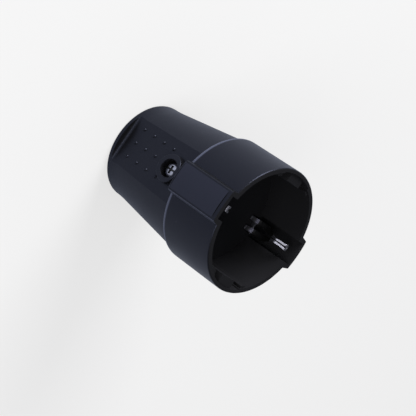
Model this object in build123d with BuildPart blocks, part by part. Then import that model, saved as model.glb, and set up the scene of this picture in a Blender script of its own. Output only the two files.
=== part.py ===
from build123d import *
import os

# Earthed cable socket, stood on its cable end with the mouth up.
# Lengths are millimetres. The origin is the middle of the rear face, +Z runs
# to the mouth, the marked band faces -Y and the two live pins lie along X.

# Well that the plug goes into
well_depth = 17.5
well_radius = 19.7
well_floor = 2.2
pin_spacing = 19.0
pin_aperture_radius = 3.0
aperture_chamfer = 0.5

# Cup round the well, and the grip behind its shoulder
grip_length = 33.9
cup_wall = 1.65
cup_draft = 0.1
pocket_depth = 1.9
shoulder_rounding = 1.1
rim_rounding = 0.5

# Raised band on each side, with the earth clip's channel behind it
band_height = 2.05
band_crown = 0.45
band_base_width = 11.7
band_top_width = 10.2
band_rear_gap = 0.3
band_rear_corner = 1.8
band_rounding = 0.4
band_wall = 1.0
channel_width = 7.9

# Marking panel set off by a fine groove on each band, left bare
panel_width = 9.7
panel_front_lip = 1.2
panel_rear_lip = 0.4
panel_groove = 0.3
panel_groove_depth = 0.3
panel_rear_corner = 1.5

# Guide ribs, the small keys and the thinner wall between them
guide_height = 2.7
guide_width = 7.0
guide_drop = 0.5
relief_depth = 0.4
relief_width = 14.6
key_height = 0.9
key_width = 1.8
key_angle = 26.0
key_drop = 0.3

# Core of the cup, inside the grip, and the contact holder in it
core_wall = 1.3
core_flat_drop = 2.4
core_length = 12.4
pocket_gap = 1.5
tower_wall = 0.9
pin_engagement = 19.6
web_thickness = 2.0
web_drop = 2.8

# Rear grip
grip_rear_radius = 16.4
shoulder_step = 1.15
flare_start = 3.2
flare_rounding = 45.0
grip_wall = 2.2
grip_floor = 2.4
grip_rear_rounding = 0.8
collar_height = 1.7
flat_rear_drop = 2.4
flat_front_drop = 2.2
flat_foot_rounding = 1.0
lip_thickness = 1.0
rib_thickness = 1.6
rib_angle = 50.0
rib_hold = 1.2

# Grip dots on both flats
dot_radius = 0.75
dot_top_radius = 0.35
dot_height = 0.4
dot_sink = 0.2
dot_row_pitch = 5.0
dot_column_pitch = 5.27
dot_first_z = 6.9
dot_offset = 0.5
dot_rows = 3
dot_columns = 4

# Housing screw, the island that its recess stands in, and its nut
housing_screw_z = 26.9
island_radius = 4.7
island_rounding = 0.3
recess_radius = 2.95
recess_lead = 0.4
recess_depth = 1.4
housing_screw_radius = 1.5
housing_head_radius = 2.45
housing_head_height = 1.8
nut_side = 5.5
nut_thickness = 2.4
nut_rib = 1.1

# Earth strap, one bent strip
strap_width = 5.4
strap_thickness = 0.6
strap_leg_setback = 0.9
strap_apex_lean = 3.4
strap_apex_drop = 5.0
strap_tip_lean = 1.1
strap_tip_drop = 1.3
strap_leg_height = 2.4
strap_bend = 0.9
nose_width = 2.1
nose_length = 6.1
strap_taper = 4.0
slot_width = 0.5
slot_foot_width = 1.6
slot_foot_gap = 0.6
slot_end_gap = 0.9

# Live contacts
sleeve_radius = 3.0
sleeve_bore = 2.45
sleeve_slit = 0.6
slit_length = 10.0
sleeve_setback = 1.1
block_width = 7.4
block_depth = 7.2
block_length = 5.8
wire_hole_radius = 1.5
wire_hole_depth = 4.6
spring_thickness = 0.4
spring_height = 3.0
spring_setback = 1.5
spring_gap = 1.6

# Earth pillar
pillar_side = 6.0
pillar_offset = 6.5
rivet_radius = 1.25

# Terminal screws
terminal_screw_radius = 1.4
terminal_head_radius = 2.2
terminal_head_height = 1.6
terminal_screw_length = 2.3

# Contact carrier, the plate that closes the core
carrier_thickness = 2.0
carrier_radius = 14.0
carrier_flat = 12.4
carrier_hole_radius = 2.2

# Cable clamp on the back of the carrier
clamp_half_gap = 3.4
clamp_length = 21.0
seat_thickness = 3.6
bar_thickness = 2.8
bar_end_gap = 0.4
cable_groove_radius = 4.4
clamp_screw_inset = 2.5
clamp_screw_radius = 1.45
clamp_head_radius = 2.4
clamp_head_height = 1.7
clamp_nut_side = 5.0
clamp_nut_thickness = 1.8

# Cable grommet
entry_radius = 5.7
grommet_bore = 3.9
grommet_flange = 7.3
grommet_flange_thickness = 1.0
grommet_recess = 0.3

# Clearances
fit = 0.1
loose_fit = 0.3

# Places worked out from the sizes
cup_radius = well_radius + cup_wall
shoulder_z = grip_length
floor_rear_z = shoulder_z + pocket_depth
floor_z = floor_rear_z + well_floor
rim_z = floor_z + well_depth
band_rear_z = shoulder_z + band_rear_gap
band_face = cup_radius + band_height
band_edge = band_face - band_crown
channel_reach = band_edge - band_wall
guide_reach = well_radius - guide_height
relief_radius = well_radius + relief_depth
key_reach = well_radius - key_height
pin_x = pin_spacing / 2
tower_rear_z = floor_z - pin_engagement
tower_bore = sleeve_radius + spring_thickness + 2 * fit
tower_radius = tower_bore + tower_wall
core_radius = pin_x + tower_radius + fit + core_wall
core_flat = core_radius - core_flat_drop
core_inner_flat = core_flat - core_wall
core_rear_z = shoulder_z - core_length
pocket_radius = core_radius + pocket_gap
grip_front_radius = cup_radius - shoulder_step
block_rear_z = tower_rear_z - block_length
carrier_rear_z = block_rear_z - carrier_thickness
seat_rear_z = grip_floor + grommet_flange_thickness + loose_fit + fit
seat_length = carrier_rear_z - seat_rear_z
clamp_z = seat_rear_z + seat_length / 2
clamp_screw_spacing = clamp_length - 2 * clamp_screw_inset
wire_window = clamp_screw_spacing - clamp_nut_side
strap_z = floor_rear_z - strap_thickness
strap_leg_reach = well_radius - strap_leg_setback
strap_apex_reach = strap_leg_reach - strap_apex_lean
strap_tip_reach = strap_leg_reach - strap_tip_lean
lip_height = pocket_depth - strap_thickness - loose_fit
terminal_z = block_rear_z + block_length / 2
flat_rear_height = grip_rear_radius - flat_rear_drop
flat_front_height = grip_front_radius - flat_front_drop
flat_slope = (flat_front_height - flat_rear_height) / (shoulder_z - collar_height)
flare_slope = (grip_front_radius - grip_rear_radius) / (shoulder_z - flare_start)
flare_half_tangent = ((1 + flare_slope**2) ** 0.5 - 1) / flare_slope
flare_longest_rounding = (flare_start - fit) / flare_half_tangent
flat_at_screw = flat_rear_height + flat_slope * (housing_screw_z - collar_height)
recess_seat_y = flat_at_screw - recess_depth
island_top = grip_rear_radius + flare_slope * (housing_screw_z - flare_start)


def flat_height(z):
    """Distance from the axis to the grip's flat at height z."""
    return flat_rear_height + flat_slope * (z - collar_height)


def flat_wedge(inset, bottom_z, foot_rounding):
    """Material outside both flats, for cutting them from the grip."""
    outside = 2 * cup_radius
    foot = (flat_height(bottom_z) - inset, bottom_z)
    with BuildPart() as wedge:
        with BuildSketch(Plane.YZ) as profile:
            with BuildLine():
                Polyline(
                    foot,
                    (flat_height(shoulder_z) - inset, shoulder_z),
                    (outside, shoulder_z),
                    (outside, bottom_z),
                    close=True,
                )
            make_face()
            fillet(profile.vertices().sort_by_distance(foot)[0], foot_rounding)
            mirror(about=Plane.YZ)
        extrude(amount=outside, both=True)
    return wedge


def crown_sketch(half_width, drop, outer_y):
    """Area from the band's crowned face, lowered by drop, to outer_y."""
    with BuildSketch(mode=Mode.PRIVATE) as area:
        with BuildLine():
            ThreePointArc(
                (-half_width, band_edge - drop),
                (0, band_face - drop),
                (half_width, band_edge - drop),
            )
            Polyline(
                (half_width, band_edge - drop),
                (half_width, outer_y),
                (-half_width, outer_y),
                (-half_width, band_edge - drop),
            )
        make_face()
    return area.sketch


def panel_area(width, length, corner):
    """Rectangle whose two rear corners are rounded."""
    with BuildSketch(mode=Mode.PRIVATE) as area:
        Rectangle(width, length)
        fillet(area.vertices().group_by(Axis.Y)[0], corner)
    return area.sketch


def slotted_screw(seat, head_radius, head_height, shank_radius, length):
    """Cheese-head screw with its head standing on the seat plane."""
    with BuildPart() as screw:
        with BuildSketch(seat):
            Circle(head_radius)
        extrude(amount=head_height)
        head_top = screw.faces().sort_by(Axis(seat.origin, seat.z_dir))[-1]
        chamfer(head_top.edges(), length=head_height / 6)
        with BuildSketch(seat):
            Circle(shank_radius)
        extrude(amount=-length)
        with BuildSketch(seat.offset(head_height)):
            Rectangle(2 * head_radius, head_radius / 3)
        extrude(amount=-head_height / 2, mode=Mode.SUBTRACT)
    return screw


# Cup housing: one moulding with the well, the bands, the guide ribs and the
# core that takes the contacts behind the well's floor.
with BuildPart() as cup_housing:
    # Outer wall with a slight draft and the rounded shoulder
    with BuildSketch(Plane.XZ):
        with BuildLine():
            Polyline(
                (0, shoulder_z),
                (cup_radius - cup_draft, shoulder_z),
                (cup_radius, rim_z),
                (0, rim_z),
                close=True,
            )
        make_face()
    revolve(axis=Axis.Z)
    fillet(cup_housing.edges().filter_by(GeomType.CIRCLE).group_by(Axis.Z)[0], shoulder_rounding)
    fillet(cup_housing.edges().filter_by(GeomType.CIRCLE).group_by(Axis.Z)[-1], rim_rounding)

    # Bands with a crowned face, rounded rear corners and softened edges
    band_length = rim_z - band_rear_z
    band_middle = Plane(origin=(0, 0, band_rear_z + band_length / 2), x_dir=(1, 0, 0), z_dir=(0, -1, 0))
    with BuildPart(mode=Mode.PRIVATE) as bands:
        with BuildSketch(Plane.XY.offset(band_rear_z)):
            with BuildLine():
                Polyline(
                    (-band_top_width / 2, band_edge),
                    (-band_base_width / 2, well_radius),
                    (band_base_width / 2, well_radius),
                    (band_top_width / 2, band_edge),
                )
                ThreePointArc(
                    (band_top_width / 2, band_edge),
                    (0, band_face),
                    (-band_top_width / 2, band_edge),
                )
            make_face()
            mirror(about=Plane.XZ)
        extrude(amount=band_length)
        with BuildSketch(band_middle):
            add(panel_area(band_base_width, band_length, band_rear_corner))
        extrude(amount=2 * cup_radius, both=True, mode=Mode.INTERSECT)
        face_edges = bands.edges().filter_by(
            lambda edge: abs(edge.center().Y) > band_edge - fit and edge.center().Z < rim_z - fit
        )
        fillet(face_edges, band_rounding)
    add(bands.part)

    # Groove round the marking panel of each band
    panel_length = rim_z - panel_front_lip - band_rear_z - panel_rear_lip
    panel_z = band_rear_z + panel_rear_lip + panel_length / 2
    with BuildPart(mode=Mode.PRIVATE) as grooves:
        with BuildSketch(Plane(origin=(0, 0, panel_z), x_dir=(1, 0, 0), z_dir=(0, -1, 0))):
            add(panel_area(panel_width, panel_length, panel_rear_corner))
            add(
                panel_area(
                    panel_width - 2 * panel_groove,
                    panel_length - 2 * panel_groove,
                    panel_rear_corner - panel_groove,
                ),
                mode=Mode.SUBTRACT,
            )
        extrude(amount=2 * cup_radius, both=True)
        with BuildPart(mode=Mode.PRIVATE) as skin:
            with BuildSketch(Plane.XY.offset(band_rear_z)):
                add(crown_sketch(band_base_width, panel_groove_depth, 2 * cup_radius))
                mirror(about=Plane.XZ)
            extrude(amount=rim_z - band_rear_z)
        add(skin.part, mode=Mode.INTERSECT)
    add(grooves.part, mode=Mode.SUBTRACT)

    # Well, the clip channels and the thinner wall on the pin side
    with BuildSketch(Plane.XY.offset(floor_z)):
        Circle(well_radius)
        Rectangle(channel_width, 2 * channel_reach)
    extrude(amount=well_depth, mode=Mode.SUBTRACT)
    with BuildSketch(Plane.XY.offset(floor_z)):
        Circle(relief_radius)
        Rectangle(2 * cup_radius, relief_width, mode=Mode.INTERSECT)
    extrude(amount=well_depth, mode=Mode.SUBTRACT)

    # Guide ribs and the four small keys
    guide_depth = relief_radius - guide_reach + loose_fit
    with BuildSketch(Plane.XY.offset(floor_z)):
        with PolarLocations(guide_reach + guide_depth / 2, 2):
            Rectangle(guide_depth, guide_width)
    extrude(amount=well_depth - guide_drop)
    key_depth = relief_radius - key_reach + loose_fit
    with BuildSketch(Plane.XY.offset(floor_z)):
        for angle in (-key_angle, key_angle):
            with PolarLocations(key_reach + key_depth / 2, 2, start_angle=angle):
                Rectangle(key_depth, key_width)
    extrude(amount=well_depth - key_drop)

    # Pocket behind the floor and the core wall that stands in it
    with BuildSketch(Plane.XY.offset(shoulder_z)):
        Circle(pocket_radius)
    extrude(amount=pocket_depth, mode=Mode.SUBTRACT)
    with BuildSketch(Plane.XY.offset(core_rear_z)):
        Circle(core_radius)
        Rectangle(2 * core_radius, 2 * core_flat, mode=Mode.INTERSECT)
        offset(amount=-core_wall, mode=Mode.SUBTRACT)
    extrude(amount=floor_rear_z - core_rear_z)

    # Pin apertures with a lead-in
    with BuildSketch(Plane.XY.offset(floor_rear_z)):
        with GridLocations(pin_spacing, 0, 2, 1):
            Circle(pin_aperture_radius)
    extrude(amount=well_floor, mode=Mode.SUBTRACT)
    aperture_edges = cup_housing.edges().filter_by(GeomType.CIRCLE).filter_by(
        lambda edge: abs(edge.radius - pin_aperture_radius) < fit and edge.center().Z > floor_z - fit
    )
    chamfer(aperture_edges, aperture_chamfer)

    # Way for the earth strap behind the floor and up through it
    strap_room = strap_width + 2 * loose_fit
    strap_slot_out = strap_leg_reach + strap_thickness / 2 + loose_fit
    strap_slot_in = strap_leg_reach - strap_thickness / 2 - strap_bend
    with BuildSketch(Plane.XY.offset(shoulder_z)):
        Rectangle(strap_room, 2 * strap_slot_out)
    extrude(amount=pocket_depth, mode=Mode.SUBTRACT)
    with BuildSketch(Plane.XY.offset(floor_rear_z)):
        with GridLocations(0, strap_slot_out + strap_slot_in, 1, 2):
            Rectangle(strap_room, strap_slot_out - strap_slot_in)
    extrude(amount=well_floor, mode=Mode.SUBTRACT)

    # Hole for the housing screw, and the ribs that keep its nut from turning
    with BuildSketch(Plane(origin=(0, -core_flat, housing_screw_z), x_dir=(1, 0, 0), z_dir=(0, -1, 0))):
        Circle(housing_screw_radius + fit)
    extrude(amount=-core_wall, mode=Mode.SUBTRACT)
    with BuildSketch(Plane(origin=(0, -core_inner_flat, housing_screw_z), x_dir=(1, 0, 0), z_dir=(0, 1, 0))):
        with GridLocations(nut_side + 2 * fit + nut_rib, 0, 2, 1):
            Rectangle(nut_rib, nut_side)
    extrude(amount=nut_thickness)

# Contact holder: two tubes for the slit sleeves, joined by a web, that stand
# in the core against the back of the well's floor.
with BuildPart() as contact_holder:
    with BuildSketch(Plane.XY.offset(tower_rear_z)):
        with GridLocations(pin_spacing, 0, 2, 1):
            Circle(tower_radius)
    extrude(amount=floor_rear_z - tower_rear_z)
    with BuildSketch(Plane.XY.offset(tower_rear_z)):
        Rectangle(pin_spacing, web_thickness)
    extrude(amount=floor_rear_z - web_drop - tower_rear_z)
    with BuildSketch(Plane.XY.offset(tower_rear_z)):
        with GridLocations(pin_spacing, 0, 2, 1):
            Circle(tower_bore)
    extrude(amount=floor_rear_z - tower_rear_z, mode=Mode.SUBTRACT)

# Rear grip: a tapered sleeve with two dotted flats, a thin full-round collar
# at the cable end and an island on one flat for the housing screw.
with BuildPart() as rear_grip:
    with BuildSketch(Plane.XZ):
        with BuildLine():
            side_line = FilletPolyline(
                (grip_rear_radius, 0),
                (grip_rear_radius, flare_start),
                (grip_front_radius, shoulder_z),
                radius=min(flare_rounding, flare_longest_rounding),
            )
            Polyline(side_line @ 1, (0, shoulder_z), (0, 0), side_line @ 0)
        make_face()
    revolve(axis=Axis.Z)
    fillet(rear_grip.edges().group_by(Axis.Z)[0], grip_rear_rounding)
    screw_axis_plane = Plane(origin=(0, 0, housing_screw_z), x_dir=(1, 0, 0), z_dir=(0, -1, 0))
    with BuildPart(mode=Mode.PRIVATE) as flat_cuts:
        add(flat_wedge(0, collar_height, flat_foot_rounding).part)
        with BuildSketch(screw_axis_plane):
            Circle(island_radius)
        extrude(amount=2 * cup_radius, mode=Mode.SUBTRACT)
    add(flat_cuts.part, mode=Mode.SUBTRACT)
    island_edge = rear_grip.edges().filter_by(
        lambda edge: edge.center().Y < -flat_at_screw - fit
        and abs(edge.center().Z - housing_screw_z) < island_radius
    )
    fillet(island_edge, island_rounding)

    # Cavity with the same flats, one wall thickness in
    with BuildPart(mode=Mode.PRIVATE) as cavity:
        with BuildSketch(Plane.XZ):
            with BuildLine():
                Polyline(
                    (0, grip_floor),
                    (grip_rear_radius - grip_wall, grip_floor),
                    (grip_front_radius - grip_wall, shoulder_z),
                    (0, shoulder_z),
                    close=True,
                )
            make_face()
        revolve(axis=Axis.Z)
        add(flat_wedge(grip_wall, grip_floor, fit).part, mode=Mode.SUBTRACT)
    add(cavity.part, mode=Mode.SUBTRACT)

    # Inward flange with the centring lip that enters the cup's pocket
    lip_outer = pocket_radius - fit
    with BuildSketch(Plane.XY.offset(shoulder_z - lip_height)):
        Circle(grip_front_radius - grip_wall / 2)
        Rectangle(2 * cup_radius, 2 * (flat_front_height - grip_wall / 2), mode=Mode.INTERSECT)
        Circle(lip_outer - lip_thickness, mode=Mode.SUBTRACT)
    extrude(amount=lip_height)
    with BuildSketch(Plane.XY.offset(shoulder_z)):
        Circle(lip_outer)
        Circle(lip_outer - lip_thickness, mode=Mode.SUBTRACT)
    extrude(amount=lip_height)

    # Four ribs that carry the rim of the contact carrier
    rib_inner = carrier_radius - rib_hold
    rib_outer = grip_rear_radius - grip_wall / 2
    with BuildSketch(Plane.XY.offset(grip_floor)):
        for angle in (rib_angle, -rib_angle):
            with PolarLocations((rib_inner + rib_outer) / 2, 2, start_angle=angle):
                Rectangle(rib_outer - rib_inner, rib_thickness)
    extrude(amount=carrier_rear_z - grip_floor)

    # Boss inside and recess outside for the housing screw
    boss_face = core_flat + fit
    boss_plane = Plane(origin=(0, -boss_face, housing_screw_z), x_dir=(1, 0, 0), z_dir=(0, -1, 0))
    with BuildSketch(boss_plane):
        Circle(island_radius)
    extrude(amount=flat_at_screw - boss_face - grip_wall / 2)
    recess_axis = Axis((0, 0, housing_screw_z), (0, 1, 0))
    with BuildSketch(Plane.XY.offset(housing_screw_z)):
        with BuildLine():
            Polyline(
                (0, -recess_seat_y),
                (recess_radius, -recess_seat_y),
                (recess_radius, -island_top + recess_lead),
                (recess_radius + 2 * recess_lead, -island_top - recess_lead),
                (0, -island_top - recess_lead),
                close=True,
            )
        make_face()
    revolve(axis=recess_axis, mode=Mode.SUBTRACT)
    with BuildSketch(boss_plane):
        Circle(housing_screw_radius + fit)
    extrude(amount=recess_seat_y - boss_face, mode=Mode.SUBTRACT)

    # Dots, left out where the screw's island takes their place
    dot_length = dot_height + dot_sink
    for side in (-1, 1):
        for row in range(dot_rows):
            for column in range(dot_columns):
                dot_x = (row - (dot_rows - 1) / 2) * dot_row_pitch + side * dot_offset
                dot_z = dot_first_z + column * dot_column_pitch
                foot_y = side * (flat_height(dot_z) - dot_sink)
                from_island = Vector(dot_x, dot_z - housing_screw_z).length
                if side > 0 or from_island > island_radius + dot_radius:
                    with Locations(Location((dot_x, foot_y, dot_z), (-90 * side, 0, 0))):
                        Cone(
                            dot_radius,
                            dot_top_radius,
                            dot_length,
                            align=(Align.CENTER, Align.CENTER, Align.MIN),
                        )

    # Cable entry
    with BuildSketch(Plane.XY):
        Circle(entry_radius)
    extrude(amount=grip_floor, mode=Mode.SUBTRACT)

# Earth strap: one strip that crosses behind the floor and stands up as a
# sprung clip in the channel on each side.
with BuildPart() as earth_strap:
    leg_top_z = floor_z + strap_leg_height
    half_path = [
        (strap_tip_reach, rim_z - strap_tip_drop),
        (strap_apex_reach, rim_z - strap_apex_drop),
        (strap_leg_reach, leg_top_z),
        (strap_leg_reach, strap_z + strap_thickness / 2),
    ]
    other_half = [(-reach, height) for reach, height in reversed(half_path)]
    with BuildSketch(Plane.YZ):
        with BuildLine():
            FilletPolyline(*(half_path + other_half), radius=strap_bend)
        trace(line_width=strap_thickness)
    extrude(amount=strap_width / 2, both=True)

    # Each clip narrows to its nose and is slit down the middle
    nose_z = rim_z - nose_length
    with BuildSketch(Plane.XZ):
        with BuildLine():
            Polyline(
                (nose_width / 2, rim_z),
                (nose_width / 2, nose_z),
                (strap_width / 2, nose_z - strap_taper),
                (strap_width, nose_z - strap_taper),
                (strap_width, rim_z),
                close=True,
            )
        make_face()
        mirror(about=Plane.YZ)
    extrude(amount=band_face, both=True, mode=Mode.SUBTRACT)
    slot_foot_z = floor_z + slot_foot_gap
    slot_top_z = rim_z - strap_tip_drop - slot_end_gap
    with BuildSketch(Plane.XZ):
        with BuildLine():
            Polyline(
                (-slot_foot_width / 2, slot_foot_z),
                (slot_foot_width / 2, slot_foot_z),
                (slot_width / 2, nose_z),
                (slot_width / 2, slot_top_z),
                (-slot_width / 2, slot_top_z),
                (-slot_width / 2, nose_z),
                close=True,
            )
        make_face()
    extrude(amount=band_face, both=True, mode=Mode.SUBTRACT)

    # Hole for the earth pillar's rivet
    with BuildSketch(Plane.XY.offset(strap_z)):
        with Locations((0, pillar_offset)):
            Circle(rivet_radius + fit)
    extrude(amount=strap_thickness, mode=Mode.SUBTRACT)


def line_contact(side):
    """Slit brass sleeve for one pin, with its wire block behind."""
    centre = side * pin_x
    sleeve_front_z = floor_rear_z - sleeve_setback
    with BuildPart() as contact:
        with BuildSketch(Plane.XY.offset(block_rear_z)):
            with Locations((centre, 0)):
                Rectangle(block_width, block_depth)
        extrude(amount=block_length)
        with BuildSketch(Plane.XY.offset(tower_rear_z)):
            with Locations((centre, 0)):
                Circle(sleeve_radius)
                Circle(sleeve_bore, mode=Mode.SUBTRACT)
        extrude(amount=sleeve_front_z - tower_rear_z)
        with BuildSketch(Plane.XY.offset(sleeve_front_z)):
            with Locations((centre, 0)):
                Rectangle(3 * sleeve_radius, sleeve_slit)
                Rectangle(sleeve_slit, 3 * sleeve_radius)
        extrude(amount=-slit_length, mode=Mode.SUBTRACT)
        with BuildSketch(Plane.XY.offset(block_rear_z)):
            with Locations((centre, 0)):
                Circle(wire_hole_radius)
        extrude(amount=wire_hole_depth, mode=Mode.SUBTRACT)
        screw_face = Plane(origin=(centre, -block_depth / 2, terminal_z), x_dir=(1, 0, 0), z_dir=(0, -1, 0))
        with BuildSketch(screw_face):
            Circle(terminal_screw_radius + fit / 2)
        extrude(amount=-block_depth / 2, mode=Mode.SUBTRACT)
    return contact


def contact_spring(side):
    """Open steel ring that closes the slit sleeve on the pin."""
    inner = sleeve_radius + fit / 4
    spring_top = floor_rear_z - sleeve_setback - spring_setback
    with BuildPart() as spring:
        with BuildSketch(Plane.XY.offset(spring_top - spring_height)):
            with Locations((side * pin_x, 0)):
                Circle(inner + spring_thickness)
                Circle(inner, mode=Mode.SUBTRACT)
            with Locations((side * (pin_x + sleeve_radius), 0)):
                Rectangle(2 * sleeve_radius, spring_gap, mode=Mode.SUBTRACT)
        extrude(amount=spring_height)
    return spring


def terminal_screw(side):
    """Clamping screw of one live terminal."""
    seat = Plane(origin=(side * pin_x, -block_depth / 2, terminal_z), x_dir=(1, 0, 0), z_dir=(0, -1, 0))
    return slotted_screw(
        seat, terminal_head_radius, terminal_head_height, terminal_screw_radius, terminal_screw_length
    )


def clamp_screw(side):
    """One of the two screws that draw the clamp bar onto the cable."""
    head_y = clamp_half_gap + bar_thickness
    shank = head_y + clamp_half_gap + seat_thickness - fit
    seat = Plane(origin=(side * clamp_screw_spacing / 2, -head_y, clamp_z), x_dir=(1, 0, 0), z_dir=(0, -1, 0))
    return slotted_screw(seat, clamp_head_radius, clamp_head_height, clamp_screw_radius, shank)


def clamp_nut(side):
    """Square nut let into the clamp seat."""
    face_y = clamp_half_gap + seat_thickness - clamp_nut_thickness
    nut_plane = Plane(
        origin=(side * clamp_screw_spacing / 2, face_y, clamp_z), x_dir=(1, 0, 0), z_dir=(0, 1, 0)
    )
    with BuildPart() as nut:
        with BuildSketch(nut_plane):
            Rectangle(clamp_nut_side, clamp_nut_side)
            Circle(clamp_screw_radius + fit / 2, mode=Mode.SUBTRACT)
        extrude(amount=clamp_nut_thickness)
    return nut


line_contact_left = line_contact(-1)
line_contact_right = line_contact(1)
contact_spring_left = contact_spring(-1)
contact_spring_right = contact_spring(1)
terminal_screw_left = terminal_screw(-1)
terminal_screw_right = terminal_screw(1)
clamp_screw_left = clamp_screw(-1)
clamp_screw_right = clamp_screw(1)
clamp_nut_left = clamp_nut(-1)
clamp_nut_right = clamp_nut(1)

# Earth pillar: square brass bar riveted to the strap, drilled for the wire.
with BuildPart() as earth_pillar:
    with BuildSketch(Plane.XY.offset(block_rear_z)):
        with Locations((0, pillar_offset)):
            Rectangle(pillar_side, pillar_side)
    extrude(amount=strap_z - block_rear_z)
    with BuildSketch(Plane.XY.offset(strap_z)):
        with Locations((0, pillar_offset)):
            Circle(rivet_radius)
    extrude(amount=strap_thickness)
    with BuildSketch(Plane.XY.offset(block_rear_z)):
        with Locations((0, pillar_offset)):
            Circle(wire_hole_radius)
    extrude(amount=wire_hole_depth, mode=Mode.SUBTRACT)
    pillar_face = Plane(
        origin=(0, pillar_offset + pillar_side / 2, terminal_z), x_dir=(1, 0, 0), z_dir=(0, 1, 0)
    )
    with BuildSketch(pillar_face):
        Circle(terminal_screw_radius + fit / 2)
    extrude(amount=-pillar_side / 2, mode=Mode.SUBTRACT)

earth_terminal_screw = slotted_screw(
    pillar_face,
    terminal_head_radius,
    terminal_head_height,
    terminal_screw_radius,
    terminal_screw_length - (block_depth - pillar_side) / 2,
)

# Contact carrier: insulating plate behind the terminals, with a bridge that
# serves as the seat of the cable clamp.
with BuildPart() as contact_carrier:
    with BuildSketch(Plane.XY.offset(carrier_rear_z)):
        Circle(carrier_radius)
        Rectangle(2 * carrier_radius, 2 * carrier_flat, mode=Mode.INTERSECT)
        with Locations((-pin_x, 0), (pin_x, 0), (0, pillar_offset)):
            Circle(carrier_hole_radius, mode=Mode.SUBTRACT)
    extrude(amount=carrier_thickness)
    seat_y = clamp_half_gap + seat_thickness / 2
    with BuildSketch(Plane.XY.offset(seat_rear_z)):
        with Locations((0, seat_y)):
            Rectangle(clamp_length, seat_thickness)
        Circle(cable_groove_radius, mode=Mode.SUBTRACT)
    extrude(amount=seat_length)
    window_height = seat_length / 3
    with BuildSketch(Plane.XY.offset(carrier_rear_z - window_height)):
        with Locations((0, seat_y)):
            Rectangle(wire_window, 2 * seat_thickness)
    extrude(amount=window_height, mode=Mode.SUBTRACT)
    seat_back = Plane(
        origin=(0, clamp_half_gap + seat_thickness, clamp_z), x_dir=(1, 0, 0), z_dir=(0, 1, 0)
    )
    with BuildSketch(seat_back):
        with GridLocations(clamp_screw_spacing, 0, 2, 1):
            Circle(clamp_screw_radius + fit)
    extrude(amount=-seat_thickness, mode=Mode.SUBTRACT)
    with BuildSketch(seat_back):
        with GridLocations(clamp_screw_spacing, 0, 2, 1):
            Rectangle(clamp_nut_side + fit, clamp_nut_side + fit)
    extrude(amount=-clamp_nut_thickness, mode=Mode.SUBTRACT)

# Clamp bar: flat bar with a hollow for the cable and two screw holes.
with BuildPart() as clamp_bar:
    with BuildSketch(Plane.XY.offset(seat_rear_z + bar_end_gap)):
        with Locations((0, -clamp_half_gap - bar_thickness / 2)):
            RectangleRounded(clamp_length, bar_thickness, bar_thickness / 4)
        Circle(cable_groove_radius, mode=Mode.SUBTRACT)
    extrude(amount=seat_length - 2 * bar_end_gap)
    with BuildSketch(Plane(origin=(0, -clamp_half_gap, clamp_z), x_dir=(1, 0, 0), z_dir=(0, -1, 0))):
        with GridLocations(clamp_screw_spacing, 0, 2, 1):
            Circle(clamp_screw_radius + fit)
    extrude(amount=bar_thickness, mode=Mode.SUBTRACT)

# Housing screw: pan head with a cross and a slot, seen in the near flat.
screw_seat = Plane(origin=(0, -recess_seat_y, housing_screw_z), x_dir=(1, 0, 0), z_dir=(0, -1, 0))
with BuildPart() as housing_screw:
    with BuildSketch(screw_seat):
        Circle(housing_head_radius)
    extrude(amount=housing_head_height)
    pan_edge = housing_screw.faces().sort_by(Axis.Y)[0].edges()
    fillet(pan_edge, housing_head_height / 2.5)
    with BuildSketch(screw_seat):
        Circle(housing_screw_radius)
    extrude(amount=-(recess_seat_y - core_inner_flat + nut_thickness))
    with BuildSketch(screw_seat.offset(housing_head_height)):
        Rectangle(2 * housing_head_radius, housing_head_radius / 4)
    extrude(amount=-housing_head_height / 3, mode=Mode.SUBTRACT)
    with BuildSketch(screw_seat.offset(housing_head_height)):
        Rectangle(housing_head_radius / 3, 1.1 * housing_head_radius)
        Rectangle(1.1 * housing_head_radius, housing_head_radius / 3)
    extrude(amount=-housing_head_height * 0.7, mode=Mode.SUBTRACT)

# Housing nut: square nut behind the flat wall of the core.
with BuildPart() as housing_nut:
    with BuildSketch(
        Plane(origin=(0, -core_inner_flat, housing_screw_z), x_dir=(1, 0, 0), z_dir=(0, 1, 0))
    ):
        Rectangle(nut_side, nut_side)
        Circle(housing_screw_radius + fit / 2, mode=Mode.SUBTRACT)
    extrude(amount=nut_thickness)

# Cable grommet: soft bush with a flange inside the grip's floor.
with BuildPart() as cable_grommet:
    with BuildSketch(Plane.XZ):
        with BuildLine():
            Polyline(
                (grommet_bore, grommet_recess),
                (entry_radius, grommet_recess),
                (entry_radius, grip_floor),
                (grommet_flange, grip_floor),
                (grommet_flange, grip_floor + grommet_flange_thickness),
                (grommet_bore, grip_floor + grommet_flange_thickness),
                close=True,
            )
        make_face()
    revolve(axis=Axis.Z)

os.makedirs("parts", exist_ok=True)
pieces = {
    "cup_housing": cup_housing,
    "contact_holder": contact_holder,
    "rear_grip": rear_grip,
    "earth_strap": earth_strap,
    "earth_pillar": earth_pillar,
    "earth_terminal_screw": earth_terminal_screw,
    "line_contact_left": line_contact_left,
    "line_contact_right": line_contact_right,
    "contact_spring_left": contact_spring_left,
    "contact_spring_right": contact_spring_right,
    "terminal_screw_left": terminal_screw_left,
    "terminal_screw_right": terminal_screw_right,
    "contact_carrier": contact_carrier,
    "clamp_bar": clamp_bar,
    "clamp_screw_left": clamp_screw_left,
    "clamp_screw_right": clamp_screw_right,
    "clamp_nut_left": clamp_nut_left,
    "clamp_nut_right": clamp_nut_right,
    "housing_screw": housing_screw,
    "housing_nut": housing_nut,
    "cable_grommet": cable_grommet,
}
for name, piece in pieces.items():
    piece.part.label = name
    export_step(piece.part, f"parts/{name}.step")
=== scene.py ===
import math

import bmesh
import bpy
from mathutils import Matrix, Vector


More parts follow.
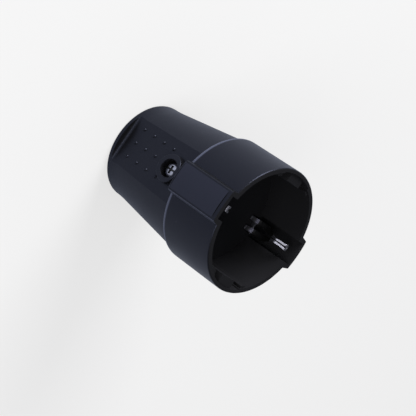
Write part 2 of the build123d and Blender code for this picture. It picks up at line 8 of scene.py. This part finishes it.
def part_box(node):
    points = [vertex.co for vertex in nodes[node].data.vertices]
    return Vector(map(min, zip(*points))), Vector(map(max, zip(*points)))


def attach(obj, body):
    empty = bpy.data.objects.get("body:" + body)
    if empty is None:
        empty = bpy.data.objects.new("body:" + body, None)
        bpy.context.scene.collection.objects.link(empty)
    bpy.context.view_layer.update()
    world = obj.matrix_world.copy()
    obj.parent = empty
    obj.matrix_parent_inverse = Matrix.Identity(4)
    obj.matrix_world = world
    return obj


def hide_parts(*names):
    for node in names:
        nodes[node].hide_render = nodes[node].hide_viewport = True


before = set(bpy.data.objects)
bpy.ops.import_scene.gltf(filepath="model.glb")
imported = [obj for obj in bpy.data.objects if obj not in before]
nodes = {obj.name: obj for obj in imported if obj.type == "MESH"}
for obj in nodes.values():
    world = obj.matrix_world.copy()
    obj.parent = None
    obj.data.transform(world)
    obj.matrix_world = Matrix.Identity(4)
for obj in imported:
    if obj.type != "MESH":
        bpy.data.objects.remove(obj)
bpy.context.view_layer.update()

# Floor
# A pale matt sheet under the whole view. It shows as the same pale grey all
# over, keeps the soft shadow of the socket, and is brighter to its left in
# what the plastic mirrors.
MM = 0.001
floor_half = 2.0
floor_grey = (0.27, 0.27, 0.27)
floor_roughness = 0.9
seen_floor_lift = 0.63
seen_floor_tint = (1.0, 0.99, 0.98)
mirrored_right_x, mirrored_left_x = 45 * MM, -70 * MM
mirrored_right_lift, mirrored_left_lift = 0.29, 0.40
mirrored_floor_tint = (0.62, 0.71, 1.0)


def new_material(name, base_color, roughness, metallic=0.0, specular=0.5):
    """A node material, its node tree and its shader."""
    material = bpy.data.materials.new(name)
    material.use_nodes = True
    shader = material.node_tree.nodes["Principled BSDF"]
    shader.inputs["Base Color"].default_value = (*base_color, 1)
    shader.inputs["Roughness"].default_value = roughness
    shader.inputs["Metallic"].default_value = metallic
    shader.inputs["Specular IOR Level"].default_value = specular
    return material, material.node_tree, shader


def place_on(tree, kind="Object"):
    """The sockets of a place: the whole vector, then its X, Y and Z."""
    place = tree.nodes.new("ShaderNodeTexCoord").outputs[kind]
    split = tree.nodes.new("ShaderNodeSeparateXYZ")
    tree.links.new(place, split.inputs[0])
    return place, split.outputs["X"], split.outputs["Y"], split.outputs["Z"]


def calculate(tree, operation, first, second=None, third=None, clamp=False):
    """The output of a math node whose inputs are sockets or numbers."""
    node = tree.nodes.new("ShaderNodeMath")
    node.operation = operation
    node.use_clamp = clamp
    for place, value in enumerate((first, second, third)):
        if value is None:
            continue
        if isinstance(value, bpy.types.NodeSocket):
            tree.links.new(value, node.inputs[place])
        else:
            node.inputs[place].default_value = value
    return node.outputs[0]


def blend_color(tree, mask, first, second):
    """Two colours, or sockets of colours, mixed by a mask."""
    node = tree.nodes.new("ShaderNodeMix")
    node.data_type = "RGBA"
    tree.links.new(mask, node.inputs["Factor"])
    color_inputs = [socket for socket in node.inputs if socket.type == "RGBA"]
    for socket, value in zip(color_inputs, (first, second)):
        if isinstance(value, bpy.types.NodeSocket):
            tree.links.new(value, socket)
        else:
            socket.default_value = (*value, 1)
    return [socket for socket in node.outputs if socket.type == "RGBA"][0]


def ramp(tree, value, start, end, at_start, at_end, kind="LINEAR"):
    """A value that goes from at_start to at_end as its input goes from start to end."""
    node = tree.nodes.new("ShaderNodeMapRange")
    node.interpolation_type = kind
    node.inputs["From Min"].default_value = start
    node.inputs["From Max"].default_value = end
    node.inputs["To Min"].default_value = at_start
    node.inputs["To Max"].default_value = at_end
    tree.links.new(value, node.inputs["Value"])
    return node.outputs[0]


floor_mesh = bpy.data.meshes.new("floor")
floor_form = bmesh.new()
bmesh.ops.create_grid(floor_form, x_segments=1, y_segments=1, size=floor_half)
floor_form.to_mesh(floor_mesh)
floor_form.free()
floor = bpy.data.objects.new("floor", floor_mesh)
bpy.context.scene.collection.objects.link(floor)

pale_floor, floor_tree, floor_shader = new_material("pale_floor", floor_grey, floor_roughness, specular=0.0)
floor_mesh.materials.append(pale_floor)
floor_ray = floor_tree.nodes.new("ShaderNodeLightPath")
floor_x = place_on(floor_tree)[1]
mirrored_lift = ramp(
    floor_tree, floor_x, mirrored_right_x, mirrored_left_x,
    mirrored_right_lift, mirrored_left_lift, "SMOOTHSTEP",
)
floor_in_mirror = calculate(
    floor_tree, "MAXIMUM", floor_ray.outputs["Is Glossy Ray"], floor_ray.outputs["Is Transmission Ray"]
)
floor_lift = calculate(
    floor_tree, "ADD",
    calculate(floor_tree, "MULTIPLY", floor_ray.outputs["Is Camera Ray"], seen_floor_lift),
    calculate(floor_tree, "MULTIPLY", floor_in_mirror, mirrored_lift),
)
floor_tint = blend_color(floor_tree, floor_in_mirror, seen_floor_tint, mirrored_floor_tint)
floor_tree.links.new(floor_lift, floor_shader.inputs["Emission Strength"])
floor_tree.links.new(floor_tint, floor_shader.inputs["Emission Color"])

# Light
# A pale room that darkens overhead, one wide soft lamp low on the left side
# and a weaker one in front, so that the black mouldings show soft edges.
seen_sky_tint = (1.0, 1.0, 1.0)
sky_tint = (0.88, 0.93, 1.0)
seen_sky_strength = 0.88
matt_sky_strength = 0.45
horizon_strength, overhead_strength = 0.4, 0.06
overhead_from_z = 0.5
lamp_aim = (0, 0, 0.03)

room = bpy.data.worlds.new("room")
bpy.context.scene.world = room
room.use_nodes = True
room_tree = room.node_tree
sky = room_tree.nodes["Background"]
sky_ray = room_tree.nodes.new("ShaderNodeLightPath")
sky_z = place_on(room_tree, "Generated")[3]
sky_in_mirror = calculate(
    room_tree, "MAXIMUM", sky_ray.outputs["Is Glossy Ray"], sky_ray.outputs["Is Transmission Ray"]
)
mirrored_strength = ramp(room_tree, sky_z, 0.0, overhead_from_z, horizon_strength, overhead_strength)
for_mirror = calculate(room_tree, "MULTIPLY", sky_in_mirror, mirrored_strength)
for_camera = calculate(room_tree, "MULTIPLY", sky_ray.outputs["Is Camera Ray"], seen_sky_strength)
for_matt = calculate(room_tree, "MULTIPLY", sky_ray.outputs["Is Diffuse Ray"], matt_sky_strength)
room_strength = calculate(room_tree, "ADD", calculate(room_tree, "ADD", for_mirror, for_camera), for_matt)
room_tint = blend_color(room_tree, sky_ray.outputs["Is Camera Ray"], sky_tint, seen_sky_tint)
room_tree.links.new(room_strength, sky.inputs["Strength"])
room_tree.links.new(room_tint, sky.inputs["Color"])

for name, place, size, power in (
    ("side_lamp", (-0.8, -0.2, 0.35), 0.5, 9.0),
    ("front_lamp", (0.35, -0.8, 0.6), 0.6, 5.0),
):
    soft_light = bpy.data.lights.new(name, "AREA")
    soft_light.shape = "SQUARE"
    soft_light.size = size
    soft_light.energy = power
    lamp = bpy.data.objects.new(name, soft_light)
    lamp.location = place
    lamp.rotation_mode = "QUATERNION"
    lamp.rotation_quaternion = (Vector(lamp_aim) - Vector(place)).to_track_quat("-Z", "Y")
    bpy.context.scene.collection.objects.link(lamp)

# Camera
# Long lens from above the side with the housing screw, turned so that the
# mouth points to the lower right.
view_azimuth = math.radians(-1.30)
view_elevation = math.radians(37.28)
view_roll = math.radians(125.22)
view_distance = 481.49 * MM
view_aim = Vector((3.82, 16.12, 21.31)) * MM
lens_length = 128.86
sensor_width = 36
nearest_seen = 10 * MM

camera_data = bpy.data.cameras.new("camera")
camera_data.lens = lens_length
camera_data.sensor_width = sensor_width
camera_data.clip_start = nearest_seen
camera = bpy.data.objects.new("camera", camera_data)
bpy.context.scene.collection.objects.link(camera)
to_camera = Vector((
    math.sin(view_azimuth) * math.cos(view_elevation),
    -math.cos(view_azimuth) * math.cos(view_elevation),
    math.sin(view_elevation),
))
camera.location = view_aim + to_camera * view_distance
camera.rotation_mode = "QUATERNION"
level_view = (-to_camera).to_track_quat("-Z", "Y")
camera.rotation_quaternion = level_view @ Matrix.Rotation(view_roll, 4, "Z").to_quaternion()
bpy.context.scene.camera = camera
bpy.context.scene.view_settings.view_transform = "Standard"

# Cup and grip
# Two black polypropylene mouldings that the housing screw holds together. The
# tool leaves a fine grain outside; the well inside is more matt, and painted shade gives it its near-black
# colour.
plastic_black = (0.0040, 0.0037, 0.0030)
plastic_cloud = (0.0062, 0.0060, 0.0062)
plastic_dust = (0.03, 0.03, 0.033)
plastic_sheen = (0.62, 0.68, 1.0)
plastic_specular = 0.42
grip_roughness = 0.40
cup_roughness = 0.38


def effect_group(name, inputs, outputs):
    """A shader node group of plain values, with its input and output nodes."""
    group = bpy.data.node_groups.new(name, "ShaderNodeTree")
    for label, start in inputs:
        socket = group.interface.new_socket(name=label, in_out="INPUT", socket_type="NodeSocketFloat")
        socket.default_value = start
    for label in outputs:
        group.interface.new_socket(name=label, in_out="OUTPUT", socket_type="NodeSocketFloat")
    return group, group.nodes.new("NodeGroupInput"), group.nodes.new("NodeGroupOutput")


def noise(tree, place, scale, detail, distortion=0.0):
    """The value of a noise texture at the given place."""
    node = tree.nodes.new("ShaderNodeTexNoise")
    node.inputs["Detail"].default_value = detail
    node.inputs["Distortion"].default_value = distortion
    tree.links.new(place, node.inputs["Vector"])
    tree.links.new(scale, node.inputs["Scale"])
    return node.outputs["Fac"]


moulded_grain, grain_in, grain_out = effect_group(
    "moulded_grain", (("Grain", 2600), ("Clouds", 90), ("Specks", 700)), ("Height", "Cloud", "Dust")
)
speck_threshold, speck_sharpness = 0.68, 12
grain_place = place_on(moulded_grain)[0]
grain_height = noise(moulded_grain, grain_place, grain_in.outputs["Grain"], 2)
grain_cloud = noise(moulded_grain, grain_place, grain_in.outputs["Clouds"], 4)
grain_specks = noise(moulded_grain, grain_place, grain_in.outputs["Specks"], 3)
past_threshold = calculate(moulded_grain, "SUBTRACT", grain_specks, speck_threshold)
speck_mask = calculate(moulded_grain, "MULTIPLY", past_threshold, speck_sharpness, clamp=True)
moulded_grain.links.new(grain_height, grain_out.inputs["Height"])
moulded_grain.links.new(grain_cloud, grain_out.inputs["Cloud"])
moulded_grain.links.new(speck_mask, grain_out.inputs["Dust"])


def bumped(tree, shader, height, strength, depth):
    """Feeds a height to the shader's normal, with its depth in metres."""
    bump = tree.nodes.new("ShaderNodeBump")
    bump.inputs["Strength"].default_value = strength
    bump.inputs["Distance"].default_value = depth
    tree.links.new(height, bump.inputs["Height"])
    tree.links.new(bump.outputs["Normal"], shader.inputs["Normal"])


def moulding(name, color, cloud_color, dust_color, roughness, specular, grain=2600, grain_depth=0.02 * MM):
    """A plastic finish with grain, faint clouds in its gloss and fine dust."""
    dust_strength = 0.35
    gloss_range = 0.16
    bump_strength = 0.35
    material, tree, shader = new_material(name, color, roughness, specular=specular)
    group = tree.nodes.new("ShaderNodeGroup")
    group.node_tree = moulded_grain
    group.inputs["Grain"].default_value = grain
    clouded = blend_color(tree, group.outputs["Cloud"], color, cloud_color)
    dust_mask = calculate(tree, "MULTIPLY", group.outputs["Dust"], dust_strength)
    dusted = blend_color(tree, dust_mask, clouded, dust_color)
    glossiest = roughness - gloss_range / 2
    spread = calculate(tree, "MULTIPLY_ADD", group.outputs["Cloud"], gloss_range, glossiest)
    tree.links.new(dusted, shader.inputs["Base Color"])
    tree.links.new(spread, shader.inputs["Roughness"])
    bumped(tree, shader, group.outputs["Height"], bump_strength, grain_depth)
    return material, tree, shader, dusted, spread


def dress(names, material):
    """Gives the named CAD pieces one material."""
    for name in names:
        nodes[name].data.materials.clear()
        nodes[name].data.materials.append(material)


def within(tree, value, low, high):
    """A mask of where a value lies between low and high."""
    above = calculate(tree, "GREATER_THAN", value, low)
    below = calculate(tree, "LESS_THAN", value, high)
    return calculate(tree, "MULTIPLY", above, below)


grip_black, _, grip_shader, *_ = moulding(
    "black_grained_moulding", plastic_black, plastic_cloud, plastic_dust, grip_roughness, plastic_specular
)
grip_shader.inputs["Specular Tint"].default_value = (*plastic_sheen, 1)
dress(["rear_grip"], grip_black)

cup_black, cup_tree, cup_shader, cup_dusted, cup_spread = moulding(
    "black_cup_moulding", plastic_black, plastic_cloud, plastic_dust, cup_roughness, plastic_specular
)
cup_shader.inputs["Specular Tint"].default_value = (*plastic_sheen, 1)
dress(["cup_housing"], cup_black)

cup_x, cup_y, cup_z = place_on(cup_tree)[1:]
across = calculate(cup_tree, "ABSOLUTE", cup_x)
squares = calculate(
    cup_tree, "ADD",
    calculate(cup_tree, "MULTIPLY", cup_x, cup_x),
    calculate(cup_tree, "MULTIPLY", cup_y, cup_y),
)
from_axis = calculate(cup_tree, "SQRT", squares)

# A painted highlight makes the panel on each band a little paler
rim_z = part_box("cup_housing")[1].z
panel_half_width = 4.5 * MM
panel_inner_y = 22.5 * MM
panel_front_z = rim_z - 1.55 * MM
panel_painted_highlight = (0.015, 0.0158, 0.0225)
from_middle = calculate(cup_tree, "ABSOLUTE", cup_y)
on_panel = calculate(
    cup_tree, "MULTIPLY",
    calculate(cup_tree, "LESS_THAN", across, panel_half_width),
    calculate(
        cup_tree, "MULTIPLY",
        calculate(cup_tree, "GREATER_THAN", from_middle, panel_inner_y),
        calculate(cup_tree, "LESS_THAN", cup_z, panel_front_z),
    ),
)
with_panel_highlight = blend_color(cup_tree, on_panel, cup_dusted, panel_painted_highlight)

# Painted highlight on the shoulder and on one long side of the bands
lip_height = 1.0 * MM
highlight_length = 1.6 * MM
highlight_fade = 0.5 * MM
grip_outside = 20.25 * MM
cup_outside = 21.5 * MM
band_side_x, band_foot_x = 5.0 * MM, 5.95 * MM
band_foot_radius = 21.45 * MM
band_highlight_share = 0.6
painted_highlight_grey = (0.085, 0.092, 0.135)
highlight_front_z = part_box("rear_grip")[1].z - lip_height + highlight_length
behind_front = calculate(
    cup_tree, "MULTIPLY", calculate(cup_tree, "SUBTRACT", highlight_front_z, cup_z), 1 / highlight_fade, clamp=True
)
on_shoulder = calculate(
    cup_tree, "MULTIPLY", within(cup_tree, from_axis, grip_outside, cup_outside), behind_front
)
on_band_side = calculate(
    cup_tree, "MULTIPLY",
    within(cup_tree, cup_x, band_side_x, band_foot_x),
    calculate(cup_tree, "GREATER_THAN", from_axis, band_foot_radius),
)
highlight_mask = calculate(
    cup_tree, "MAXIMUM", on_shoulder, calculate(cup_tree, "MULTIPLY", on_band_side, band_highlight_share)
)
with_painted_highlight = blend_color(cup_tree, highlight_mask, with_panel_highlight, painted_highlight_grey)

# The well, the clip channels and the rim face are darker and more matt: their colour is painted shade, a
# warm near-black
cup_wall_middle = 20.4 * MM
channel_half_width = 4.05 * MM
channel_back = 22.4 * MM
rim_face_depth = 0.08 * MM
well_painted_shade = (0.0062, 0.0052, 0.0022)
inner_matt = 0.45
in_wall = calculate(cup_tree, "LESS_THAN", from_axis, cup_wall_middle)
in_channel = calculate(
    cup_tree, "MULTIPLY",
    calculate(cup_tree, "LESS_THAN", across, channel_half_width),
    calculate(cup_tree, "LESS_THAN", from_axis, channel_back),
)
on_rim = calculate(cup_tree, "GREATER_THAN", cup_z, rim_z - rim_face_depth)
shade_and_matt_mask = calculate(
    cup_tree, "MAXIMUM", calculate(cup_tree, "MAXIMUM", in_wall, in_channel), on_rim
)
cup_color = blend_color(cup_tree, shade_and_matt_mask, with_painted_highlight, well_painted_shade)
inner_spread = calculate(cup_tree, "MULTIPLY_ADD", shade_and_matt_mask, inner_matt, cup_spread)
cup_tree.links.new(cup_color, cup_shader.inputs["Base Color"])
cup_tree.links.new(inner_spread, cup_shader.inputs["Roughness"])

# Earth strap and springs
# One strip of spring brass, blanked, bent and nickel plated, whose two ends
# are the clips in the channels, and two open rings of blued spring steel.
strip_thickness = 0.6 * MM
leg_y = 18.8 * MM
leg_top_z = rim_z - 15.1 * MM
apex_y, apex_z = 15.4 * MM, rim_z - 5.0 * MM
tip_y, tip_z = 17.6 * MM, rim_z - 2.0 * MM
bend_radius = 0.9 * MM
bend_steps = 6
curl_radius = 0.7 * MM
curl_turn = math.radians(115)
curl_steps = 8
row_length = 0.5 * MM

taper_z, nose_z = rim_z - 10.1 * MM, rim_z - 6.1 * MM
leg_half_width, nose_half_width = 2.7 * MM, 0.85 * MM
leg_half_slot, nose_half_slot = 0.8 * MM, 0.19 * MM
slot_foot_z, slot_end_z = rim_z - 16.9 * MM, rim_z - 2.7 * MM
slot_end_gap = 0.6 * MM
curl_start, curl_widest = 1.6 * MM, 0.9 * MM
curl_extra_width, curl_extra_slot = 0.25 * MM, 0.24 * MM
end_rounding, end_narrowing = 0.5 * MM, 0.3 * MM

foot_z = rim_z - 17.0 * MM
foot_front_y, foot_back_y = 14.9 * MM, 18.6 * MM
foot_front_x = 1.1 * MM, 2.5 * MM
foot_back_x = 0.9 * MM, 2.6 * MM

# Painted shade darkens the clip legs between the feet and the noses
leg_painted_shade = (0.055, 0.054, 0.05)
leg_shade_from_z, leg_shade_to_z = rim_z - 16.1 * MM, rim_z - 6.9 * MM

drawn_metal, drawn_in, drawn_out = effect_group(
    "drawn_metal", (("Lines", 900), ("Stain", 160)), ("Height", "Streak", "Stain")
)
drawn_place = place_on(drawn_metal)[0]
along = drawn_metal.nodes.new("ShaderNodeMapping")
along.inputs["Scale"].default_value = (1, 0.25, 0.08)
drawn_metal.links.new(drawn_place, along.inputs["Vector"])
drawn_lines = noise(drawn_metal, along.outputs["Vector"], drawn_in.outputs["Lines"], 3)
drawn_stain = noise(drawn_metal, drawn_place, drawn_in.outputs["Stain"], 4, distortion=0.4)
drawn_metal.links.new(drawn_lines, drawn_out.inputs["Height"])
drawn_metal.links.new(drawn_lines, drawn_out.inputs["Streak"])
drawn_metal.links.new(drawn_stain, drawn_out.inputs["Stain"])


def metal(name, color, stain_color, roughness):
    """A worked metal with drawn lines and a faint stain in its colour."""
    stain_contrast, stain_threshold = 2.5, 1.0
    gloss_range = 0.2
    bump_strength = 0.3
    line_depth = 0.008 * MM
    material, tree, shader = new_material(name, color, roughness, metallic=1.0)
    group = tree.nodes.new("ShaderNodeGroup")
    group.node_tree = drawn_metal
    stain_mask = calculate(
        tree, "MULTIPLY_ADD", group.outputs["Stain"], stain_contrast, -stain_threshold, clamp=True
    )
    stained = blend_color(tree, stain_mask, color, stain_color)
    glossiest = roughness - gloss_range / 2
    spread = calculate(tree, "MULTIPLY_ADD", group.outputs["Streak"], gloss_range, glossiest)
    tree.links.new(stained, shader.inputs["Base Color"])
    tree.links.new(spread, shader.inputs["Roughness"])
    bumped(tree, shader, group.outputs["Height"], bump_strength, line_depth)
    return material, tree, shader, stained


nickel_strip, strip_tree, strip_shader, strip_stained = metal(
    "nickel_plated_strip", color=(0.36, 0.36, 0.42), stain_color=(0.25, 0.25, 0.29), roughness=0.42
)
# The legs take the painted shade colour between these heights
leg_shade_mask = within(strip_tree, place_on(strip_tree)[3], leg_shade_from_z, leg_shade_to_z)
strip_color = blend_color(strip_tree, leg_shade_mask, strip_stained, leg_painted_shade)
strip_tree.links.new(strip_color, strip_shader.inputs["Base Color"])

spring_steel, *_ = metal(
    "blued_spring_steel", color=(0.36, 0.37, 0.40), stain_color=(0.24, 0.24, 0.28), roughness=0.34
)
dress(["contact_spring_left", "contact_spring_right"], spring_steel)


def rounded_line(corners, radius, steps):
    """Points along a bent line whose inner corners are rounded."""
    points = [Vector(corners[0])]
    for before, corner, after in zip(corners, corners[1:], corners[2:]):
        corner = Vector(corner)
        back = (Vector(before) - corner).normalized()
        ahead = (Vector(after) - corner).normalized()
        half = back.angle(ahead) / 2
        middle = corner + (back + ahead).normalized() * radius / math.sin(half)
        start = corner + back * radius / math.tan(half) - middle
        end = corner + ahead * radius / math.tan(half) - middle
        for step in range(steps + 1):
            points.append(middle + start.slerp(end, step / steps).normalized() * radius)
    points.append(Vector(corners[-1]))
    return points


def way_gone(value, start, end):
    """How far a value has come from start to end, from 0 to 1."""
    return min(max((value - start) / (end - start), 0), 1)


# Half the strip's middle line: across, up the leg, in to the nose, and back
cross_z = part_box("earth_strap")[0].z + strip_thickness / 2
bent_line = rounded_line((
    (0, 0, cross_z), (0, leg_y, cross_z), (0, leg_y, leg_top_z), (0, apex_y, apex_z), (0, tip_y, tip_z),
), bend_radius, bend_steps)
tip_way = (bent_line[-1] - bent_line[-2]).normalized()
from_curl_middle = Vector((0, -tip_way.z, tip_way.y)) * curl_radius
curl_middle = bent_line[-1] - from_curl_middle
for step in range(1, curl_steps + 1):
    turned = Matrix.Rotation(-curl_turn * step / curl_steps, 3, "X")
    bent_line.append(curl_middle + turned @ from_curl_middle)
row_places = []
for start, end in zip(bent_line, bent_line[1:]):
    pieces = max(1, round((end - start).length / row_length))
    row_places += [start.lerp(end, part / pieces) for part in range(pieces)]
row_places.append(bent_line[-1])

# A flat grid laid along that line, slit down the middle of the clip
strip_form = bmesh.new()
last_row = len(row_places) - 1
last_column = 3
bmesh.ops.create_grid(strip_form, x_segments=last_column, y_segments=last_row, size=1)
row_of = {vert: round((vert.co.y + 1) / 2 * last_row) for vert in strip_form.verts}
column_of = {vert: round((vert.co.x + 1) / 2 * last_column) for vert in strip_form.verts}
cross_end_y = apex_y - 1 * MM
slit_rows = set()
for row, spot in enumerate(row_places):
    risen = spot.z if spot.y > cross_end_y else cross_z
    to_end = (spot - row_places[-1]).length
    narrowed = way_gone(risen, taper_z, nose_z)
    in_curl = 1 - way_gone(to_end, curl_widest, curl_start) if risen > nose_z else 0
    half_width = leg_half_width + (nose_half_width - leg_half_width) * narrowed + curl_extra_width * in_curl
    half_width -= end_narrowing * max(1 - to_end / end_rounding, 0) ** 2
    slot_share = way_gone(risen, slot_foot_z, nose_z)
    half_slot = leg_half_slot + (nose_half_slot - leg_half_slot) * slot_share + curl_extra_slot * in_curl
    if slot_foot_z < risen < slot_end_z or (risen >= slot_end_z and to_end > slot_end_gap):
        slit_rows.add(row)
    columns = (-half_width, -half_slot, half_slot, half_width)
    for vert in [vert for vert in strip_form.verts if row_of[vert] == row]:
        vert.co = spot + Vector((columns[column_of[vert]], 0, 0))
slit = [
    face for face in strip_form.faces
    if {column_of[vert] for vert in face.verts} == {1, 2}
    and {row_of[vert] for vert in face.verts} <= slit_rows
]
bmesh.ops.delete(strip_form, geom=slit, context="FACES")

# Two feet bent over the well's floor where the strip comes through
for sign in (-1, 1):
    foot = [
        strip_form.verts.new((sign * x, y, foot_z))
        for x, y in (
            (foot_front_x[0], foot_front_y), (foot_front_x[1], foot_front_y),
            (foot_back_x[1], foot_back_y), (foot_back_x[0], foot_back_y),
        )
    ]
    strip_form.faces.new(foot)
one_half = strip_form.verts[:] + strip_form.edges[:] + strip_form.faces[:]
copied = bmesh.ops.duplicate(strip_form, geom=one_half)
other_verts = [part for part in copied["geom"] if isinstance(part, bmesh.types.BMVert)]
bmesh.ops.scale(strip_form, vec=(1, -1, 1), verts=other_verts)
bmesh.ops.remove_doubles(strip_form, verts=strip_form.verts, dist=0.01 * MM)
bmesh.ops.recalc_face_normals(strip_form, faces=strip_form.faces)
strip_mesh = bpy.data.meshes.new("nickel_strap")
strip_form.to_mesh(strip_mesh)
strip_form.free()
strip_mesh.materials.append(nickel_strip)
strap = bpy.data.objects.new("nickel_strap", strip_mesh)
bpy.context.scene.collection.objects.link(strap)
thickness = strap.modifiers.new("thickness", "SOLIDIFY")
thickness.thickness = strip_thickness
thickness.offset = 0
soft_edges = strap.modifiers.new("soft_edges", "BEVEL")
soft_edges.width = 0.12 * MM
soft_edges.segments = 2
soft_edges.limit_method = "ANGLE"
soft_edges.angle_limit = math.radians(50)
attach(strap, "root")
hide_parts("earth_strap")

# Brass terminals and nuts
# Slit sleeves with their wire blocks, the earth pillar and the square nuts,
# all of bare brass that is sawn, drilled and pressed.
bare_brass, *_ = metal(
    "bare_brass", color=(0.72, 0.52, 0.23), stain_color=(0.55, 0.37, 0.15), roughness=0.32
)
dress([
    "earth_pillar", "line_contact_left", "line_contact_right",
    "clamp_nut_left", "clamp_nut_right", "housing_nut",
], bare_brass)

# Inner mouldings and grommet
# The contact holder, the carrier plate and the clamp bar are of dark grey
# thermoset, and the grommet in the cable entry is soft black rubber.
grey_thermoset, *_ = moulding(
    "grey_thermoset", color=(0.055, 0.055, 0.06), cloud_color=(0.075, 0.075, 0.08),
    dust_color=(0.14, 0.14, 0.14), roughness=0.5, specular=0.45,
)
dress(["contact_holder", "contact_carrier", "clamp_bar"], grey_thermoset)
soft_rubber, *_ = moulding(
    "soft_rubber", color=(0.012, 0.012, 0.012), cloud_color=(0.02, 0.02, 0.02),
    dust_color=(0.06, 0.06, 0.06), roughness=0.75, specular=0.3, grain=1500, grain_depth=0.04 * MM,
)
dress(["cable_grommet"], soft_rubber)

# Screws
# Zinc-plated steel screws with rolled threads: a pan head with a cross and a
# slot holds the housing, and slotted cheese heads clamp the wires and cable.
zinc_steel, *_ = metal(
    "zinc_plated_steel", color=(0.66, 0.66, 0.72), stain_color=(0.42, 0.42, 0.46), roughness=0.30
)
# Painted shade: a dark steel for the floors and walls of the slots
slot_shade_steel, *_ = metal(
    "painted_shade_in_the_slot", color=(0.16, 0.16, 0.16), stain_color=(0.06, 0.06, 0.056), roughness=0.55
)

# Each profile is in shares of the head's radius and height, and each slot is
# in shares of its radius: half its length along X, then half along Y
pan_profile = ((0, 0), (1, 0), (1, 0.42), (0.96, 0.62), (0.86, 0.78), (0.68, 0.9), (0.4, 0.97), (0, 1))
pan_slots = ((0.90, 0.13), (0.17, 0.55))
cheese_profile = ((0, 0), (1, 0), (1, 0.84), (0.9, 1), (0, 1))
cheese_slots = ((0.88, 0.16),)
slot_floor = 0.5
upward = 0.3
head_steps = 48
thread_steps = 24
merge_distance = 0.002 * MM


def screw_head(form, profile, radius, height):
    """Turns a closed head from its profile, with its seat at height 0."""
    line = [form.verts.new((across * radius, 0, up * height)) for across, up in profile]
    edges = [form.edges.new(pair) for pair in zip(line, line[1:])]
    bmesh.ops.spin(
        form, geom=line + edges, cent=(0, 0, 0), axis=(0, 0, 1),
        angle=math.tau, steps=head_steps, use_merge=True,
    )


def cut_slots(form, bars, floor_height):
    """Sinks bars, each half a length along X and half along Y, into a head."""
    for reach in bars:
        for axis in (0, 1):
            way = Vector((1 - axis, axis, 0))
            for sign in (-1, 1):
                bmesh.ops.bisect_plane(
                    form, geom=form.verts[:] + form.edges[:] + form.faces[:], dist=0.001 * MM,
                    plane_co=way * reach[axis] * sign, plane_no=way,
                )
    bmesh.ops.remove_doubles(form, verts=form.verts, dist=merge_distance)
    bmesh.ops.recalc_face_normals(form, faces=form.faces)
    sunk = []
    for face in form.faces:
        middle = face.calc_center_median()
        inside = any(abs(middle.x) < half_x and abs(middle.y) < half_y for half_x, half_y in bars)
        if inside and face.normal.z > upward and middle.z > floor_height:
            sunk.append(face)
    made = bmesh.ops.extrude_face_region(form, geom=sunk)
    for part in made["geom"]:
        if isinstance(part, bmesh.types.BMVert):
            part.co.z = floor_height
            for face in part.link_faces:
                # The slot's floor and walls take the second material, painted shade
                face.material_index = 1
    bmesh.ops.delete(form, geom=sunk, context="FACES")


def threaded_shank(form, radius, pitch, length):
    """Adds a thread that runs down from height 0."""
    thread_depth = 0.6 * pitch
    turns = math.ceil(length / pitch)
    line = [
        form.verts.new((radius - thread_depth, 0, 0)),
        form.verts.new((radius, 0, -pitch / 2)),
        form.verts.new((radius - thread_depth, 0, -pitch)),
    ]
    edges = [form.edges.new(line[0:2]), form.edges.new(line[1:3])]
    bmesh.ops.spin(
        form, geom=line + edges, cent=(0, 0, 0), axis=(0, 0, 1), dvec=(0, 0, -pitch / thread_steps),
        angle=math.tau * (turns - 1), steps=thread_steps * (turns - 1), use_merge=False,
    )


def make_screw(name, node, profile, slots, head_radius, head_height, shank_radius, pitch, outward):
    """A screw in place of its CAD node, with its head to -Y or to +Y."""
    low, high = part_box(node)
    seat_y = low.y + head_height if outward < 0 else high.y - head_height
    seat = Vector(((low.x + high.x) / 2, seat_y, (low.z + high.z) / 2))
    form = bmesh.new()
    screw_head(form, profile, head_radius, head_height)
    bars = [(half_x * head_radius, half_y * head_radius) for half_x, half_y in slots]
    cut_slots(form, bars, slot_floor * head_height)
    threaded_shank(form, shank_radius, pitch, high.y - low.y - head_height)
    bmesh.ops.remove_doubles(form, verts=form.verts, dist=merge_distance)
    open_ends = [edge for edge in form.edges if edge.is_boundary]
    closed_ends = bmesh.ops.holes_fill(form, edges=open_ends, sides=0)
    bmesh.ops.poke(form, faces=closed_ends["faces"])
    bmesh.ops.recalc_face_normals(form, faces=form.faces)
    turn = Vector((0, outward, 0)).to_track_quat("Z", "X").to_matrix().to_4x4()
    bmesh.ops.transform(form, matrix=Matrix.Translation(seat) @ turn, verts=form.verts)
    mesh = bpy.data.meshes.new(name)
    form.to_mesh(mesh)
    form.free()
    mesh.materials.append(zinc_steel)
    mesh.materials.append(slot_shade_steel)
    screw = bpy.data.objects.new(name, mesh)
    bpy.context.scene.collection.objects.link(screw)
    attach(screw, "root")
    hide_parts(node)


make_screw(
    "pan_head_screw", "housing_screw", pan_profile, pan_slots,
    head_radius=2.45 * MM, head_height=1.8 * MM, shank_radius=1.5 * MM, pitch=0.5 * MM, outward=-1,
)
for node, head_radius, head_height, shank_radius, outward in (
    ("terminal_screw_left", 2.2, 1.6, 1.4, -1),
    ("terminal_screw_right", 2.2, 1.6, 1.4, -1),
    ("earth_terminal_screw", 2.2, 1.6, 1.4, 1),
    ("clamp_screw_left", 2.4, 1.7, 1.45, -1),
    ("clamp_screw_right", 2.4, 1.7, 1.45, -1),
):
    make_screw(
        node + "_threaded", node, cheese_profile, cheese_slots,
        head_radius * MM, head_height * MM, shank_radius * MM, 0.45 * MM, outward,
    )
